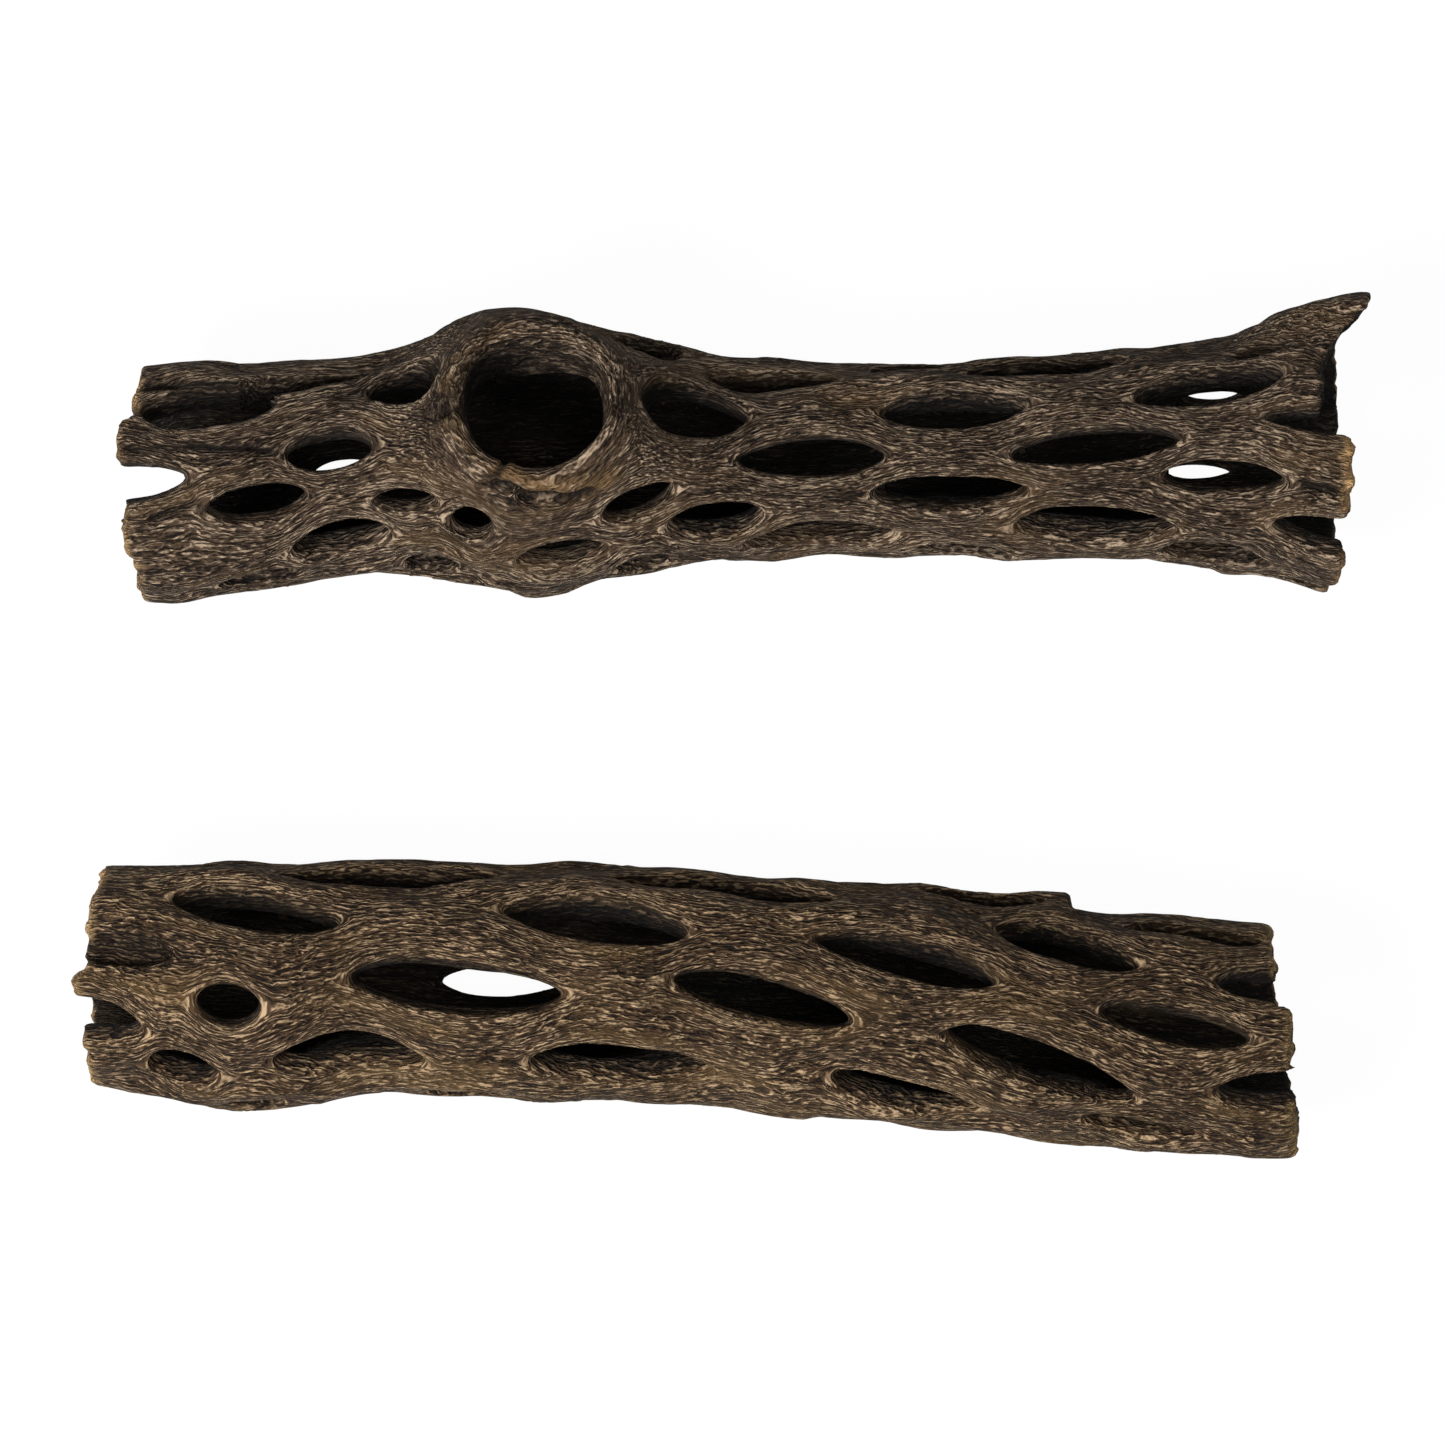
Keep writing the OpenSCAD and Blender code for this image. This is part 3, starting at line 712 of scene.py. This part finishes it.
class Nodes:
    """A material and short ways to add nodes to it."""

    def __init__(self, name):
        self.material = bpy.data.materials.new(name)
        self.material.use_nodes = True
        self.tree = self.material.node_tree
        self.tree.nodes.clear()

    def feed(self, socket, value):
        """Link a socket to another node's output, or set it to a constant."""
        if isinstance(value, bpy.types.NodeSocket):
            self.tree.links.new(value, socket)
        else:
            socket.default_value = value

    def add(self, kind, settings=None, **inputs):
        """A node with its settings and inputs. An input called _2 is its third socket."""
        node = self.tree.nodes.new(kind)
        for key, value in (settings or {}).items():
            setattr(node, key, value)
        for key, value in inputs.items():
            which = int(key[1:]) if key[0] == "_" else key.replace("_", " ")
            self.feed(node.inputs[which], value)
        return node

    def attribute(self, name, output="Fac"):
        return self.add("ShaderNodeAttribute", {"attribute_name": name}).outputs[output]

    def math(self, operation, a, b=0.0, clamp=False):
        settings = {"operation": operation, "use_clamp": clamp}
        return self.add("ShaderNodeMath", settings, _0=a, _1=b).outputs[0]

    def total(self, *parts):
        """The sum of values, each times its weight."""
        value, weight = parts[0]
        out = self.math("MULTIPLY", value, weight)
        for value, weight in parts[1:]:
            out = self.math("ADD", out, self.math("MULTIPLY", value, weight))
        return out

    def vector_math(self, operation, a, b):
        return self.add("ShaderNodeVectorMath", {"operation": operation}, _0=a, _1=b).outputs[0]

    def noise(self, vector, scale, detail=2.0, roughness=0.5):
        node = self.add("ShaderNodeTexNoise", None, Vector=self.vector_math("MULTIPLY", vector, scale),
                        Scale=1.0, Detail=detail, Roughness=roughness)
        return node.outputs["Fac"]

    def shaken(self, vector, scale, amount):
        """A vector moved about by a smooth noise."""
        drift = self.add("ShaderNodeTexNoise", None, Vector=self.vector_math("MULTIPLY", vector, scale),
                         Scale=1.0, Detail=1.0)
        away = self.vector_math("SUBTRACT", drift.outputs["Color"], (0.5, 0.5, 0.5))
        return self.vector_math("ADD", vector, self.vector_math("MULTIPLY", away, amount))

    def ramp(self, fac, stops):
        node = self.add("ShaderNodeValToRGB", None, Fac=fac)
        ramp = node.color_ramp
        while len(ramp.elements) < len(stops):
            ramp.elements.new(0.5)
        for element, (place, colour) in zip(ramp.elements, stops):
            element.position = place
            element.color = (*colour, 1)
        return node.outputs["Color"]

    def mix(self, fac, a, b, blend="MIX"):
        node = self.add("ShaderNodeMix", {"data_type": "RGBA", "blend_type": blend}, _0=fac)
        for socket, value in ((node.inputs[6], a), (node.inputs[7], b)):
            self.feed(socket, value if isinstance(value, bpy.types.NodeSocket) else (*value, 1))
        return node.outputs[2]

    def finish(self, shader):
        self.add("ShaderNodeOutputMaterial", None, Surface=shader)
        return self.material


def fibre_height(n, fibre, across):
    """Height of the fibres: wavy crests side by side, uneven strands and fine threads."""
    wander = n.shaken(fibre, (0.12, 0.2, 0.2), (0.0, 1.8, 1.8))
    woven = n.shaken(wander, (0.45, 0.8, 0.8), (0.3, 0.9, 0.9))
    sway = n.noise(fibre, (0.22, 0.5, 0.5), 3.0, 0.6)
    crest = n.math("SINE", n.total((across, 7.5), (sway, 34.0)))
    crest = n.math("ADD", n.math("MULTIPLY", crest, 0.5), 0.5)
    strand = n.noise(woven, (0.33, 1.7, 1.7), 2.0, 0.62)
    strand = n.math("MULTIPLY", n.math("SUBTRACT", strand, 0.32), 2.7, True)
    cells = n.vector_math("MULTIPLY", woven, (0.36, 1.5, 1.5))
    net = n.add("ShaderNodeTexVoronoi", {"feature": "DISTANCE_TO_EDGE"}, Vector=cells, Scale=1.0)
    net = n.math("MULTIPLY", net.outputs["Distance"], 4.0, True)
    thread = n.noise(woven, (1.1, 4.2, 4.2), 1.0)
    return n.total((strand, 0.35), (thread, 0.06), (crest, 0.4), (net, 0.2)), wander


def wood(name, gap, base, crest, gold, knot):
    """Weathered fibrous wood: pale crests over darker strands, with black gaps between."""
    n = Nodes(name)
    fibre = n.attribute("fibre", "Vector")
    height, wander = fibre_height(n, fibre, n.attribute("across"))
    if knot:
        ring, _ = fibre_height(n, n.attribute("ring", "Vector"), n.attribute("ring_across"))
        collar = n.attribute("collar")
        height = n.add("ShaderNodeMix", None, _0=collar, _2=height, _3=ring).outputs[0]

    # Colour follows height, with slow patches of paler and of darker wood
    patch = n.math("SUBTRACT", n.noise(fibre, (0.05, 0.12, 0.12), 2.0, 0.55), 0.5)
    tone = n.math("ADD", height, n.math("MULTIPLY", patch, 0.3))
    # Painted highlight: the lips of the windows are painted paler
    tone = n.math("ADD", tone, n.math("MULTIPLY", n.attribute("rim"), 0.14))
    pale_base = tuple(1.25 * c for c in base)
    colour = n.ramp(tone, [(0.23, gap), (0.39, base), (0.56, pale_base), (0.83, crest)])

    # Long dark cracks
    crack = n.math("SUBTRACT", n.noise(wander, (0.055, 0.75, 0.75)), 0.5)
    crack = n.math("MULTIPLY", n.math("ABSOLUTE", crack), 45.0, True)
    crack = n.math("SUBTRACT", 1.0, crack)
    colour = n.mix(n.math("MULTIPLY", crack, 0.7), colour, gap)
    height = n.math("SUBTRACT", height, n.math("MULTIPLY", crack, 0.35))

    # Golden patches, the splinter and the clefts
    warm = n.math("SUBTRACT", n.noise(wander, (0.05, 0.16, 0.16), 1.0), 0.53)
    warm = n.math("MULTIPLY", warm, 6.0, True)
    colour = n.mix(n.math("MULTIPLY", warm, 0.35), colour, gold)
    splinter = n.math("MULTIPLY", n.attribute("splinter"), 0.5)
    colour = n.mix(splinter, colour, tuple(1.5 * c for c in gold))
    colour = n.mix(n.math("MULTIPLY", n.attribute("cleft"), 0.95), colour, gap)

    # Painted shade: the walls of the windows and the bore are painted darker than the outside, darkest at
    # the bore
    painted_shade = [(0.2, grey(1)), (0.38, grey(0.45)), (0.8, grey(0.3)), (1.0, grey(0.07))]
    colour = n.mix(1.0, colour, n.ramp(n.attribute("shade"), painted_shade), "MULTIPLY")

    # Freshly torn fibre at the ends
    torn = n.attribute("torn")
    fray = n.math("MULTIPLY", torn, n.noise(fibre, (0.4, 1.2, 1.2)))
    fray = n.ramp(fray, [(0.22, grey(0)), (0.5, grey(1))])
    colour = n.mix(fray, colour, (2.3 * gold[0], 2.5 * gold[1], 3 * gold[2]))
    fresh = n.math("MULTIPLY", n.math("SUBTRACT", torn, 0.75), 1.8, True)
    colour = n.mix(n.math("MULTIPLY", fresh, height, True), colour, FRESH_WOOD)

    bump = n.add("ShaderNodeBump", None, Strength=1.0, Distance=0.0007, Height=height)
    shader = n.add("ShaderNodeBsdfPrincipled", None, Base_Color=colour, Roughness=0.75,
                   Specular_IOR_Level=0.12, Normal=bump.outputs[0])
    return n.finish(shader.outputs[0])


def floor():
    bpy.ops.mesh.primitive_plane_add(size=6, location=(0, 0, 0))
    plane = bpy.context.object
    plane.name = "floor"
    n = Nodes("pale_floor")
    paint = n.add("ShaderNodeBsdfDiffuse", None, Color=(0.4, 0.4, 0.4, 1))
    glow = n.add("ShaderNodeEmission", None, Color=(1, 1, 1, 1), Strength=1.04)
    seen = n.add("ShaderNodeLightPath").outputs["Is Camera Ray"]
    mix = n.add("ShaderNodeMixShader", None, Fac=n.math("MULTIPLY", seen, 0.93),
                _1=paint.outputs[0], _2=glow.outputs[0])
    plane.data.materials.append(n.finish(mix.outputs[0]))


def lamp(name, place, size, power):
    """A square light that points at the middle of the floor. Metres and watts."""
    data = bpy.data.lights.new(name, "AREA")
    data.shape = "SQUARE"
    data.size = size
    data.energy = power
    obj = bpy.data.objects.new(name, data)
    obj.location = place
    aim = -obj.location.normalized()
    obj.rotation_euler = aim.to_track_quat("-Z", "Y").to_euler()
    bpy.context.scene.collection.objects.link(obj)


def camera():
    data = bpy.data.cameras.new("camera")
    data.sensor_width = 36
    data.lens = 300
    obj = bpy.data.objects.new("camera", data)
    obj.location = (-0.0003, 0.00015, 1.527)
    bpy.context.scene.collection.objects.link(obj)
    bpy.context.scene.camera = obj


def studio():
    """Two soft lights, a dim white world and the camera."""
    camera()
    lamp("key", (-0.3, -0.2, 0.45), 0.3, 6.5)
    lamp("fill", (0.25, 0.0, 0.6), 0.5, 1.6)
    world = bpy.data.worlds.new("studio")
    world.use_nodes = True
    sky = world.node_tree.nodes["Background"]
    sky.inputs["Color"].default_value = (1, 1, 1, 1)
    sky.inputs["Strength"].default_value = 0.2
    bpy.context.scene.world = world
    bpy.context.scene.view_settings.view_transform = "Standard"


# Where the pair lies: its middle, each log's distance from it, and how far the front log lags
SHIFT_X = 1.2
SHIFT_Y = -0.5
ROW = 33.85
STAGGER = 6

KNOT_LOG = Log(
    name="knot_log_wood", stations=KNOT_STATIONS, axis=(15.85, 0.009),
    ends=(KNOT_LEFT, KNOT_RIGHT), windows=KNOT_WINDOWS, pits=KNOT_PITS, clefts=KNOT_CLEFTS,
    place=(SHIFT_X, SHIFT_Y + ROW, 0), seed=3, knot=True)
STRAIGHT_LOG = Log(
    name="straight_log_wood", stations=STRAIGHT_STATIONS, axis=(14.55, -0.006),
    ends=(STRAIGHT_LEFT, STRAIGHT_RIGHT), windows=STRAIGHT_WINDOWS, pits=STRAIGHT_PITS, clefts=[],
    place=(SHIFT_X - STAGGER, SHIFT_Y - ROW, 0), seed=11, knot=False)

grey_wood = wood(
    "weathered_grey_wood", gap=(0.005, 0.003, 0.0018), base=(0.041, 0.0255, 0.0152),
    crest=(0.28, 0.207, 0.14), gold=(0.095, 0.055, 0.022), knot=True)
tan_wood = wood(
    "weathered_tan_wood", gap=(0.006, 0.0036, 0.002), base=(0.037, 0.0207, 0.0101),
    crest=(0.3, 0.207, 0.12), gold=(0.11, 0.066, 0.025), knot=False)
PAIR = ((KNOT_LOG, grey_wood, "knot_log"), (STRAIGHT_LOG, tan_wood, "straight_log"))
for log, material, node in PAIR:
    piece = make_log(log, material)
    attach(piece, "root")
    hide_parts(node)

floor()
studio()
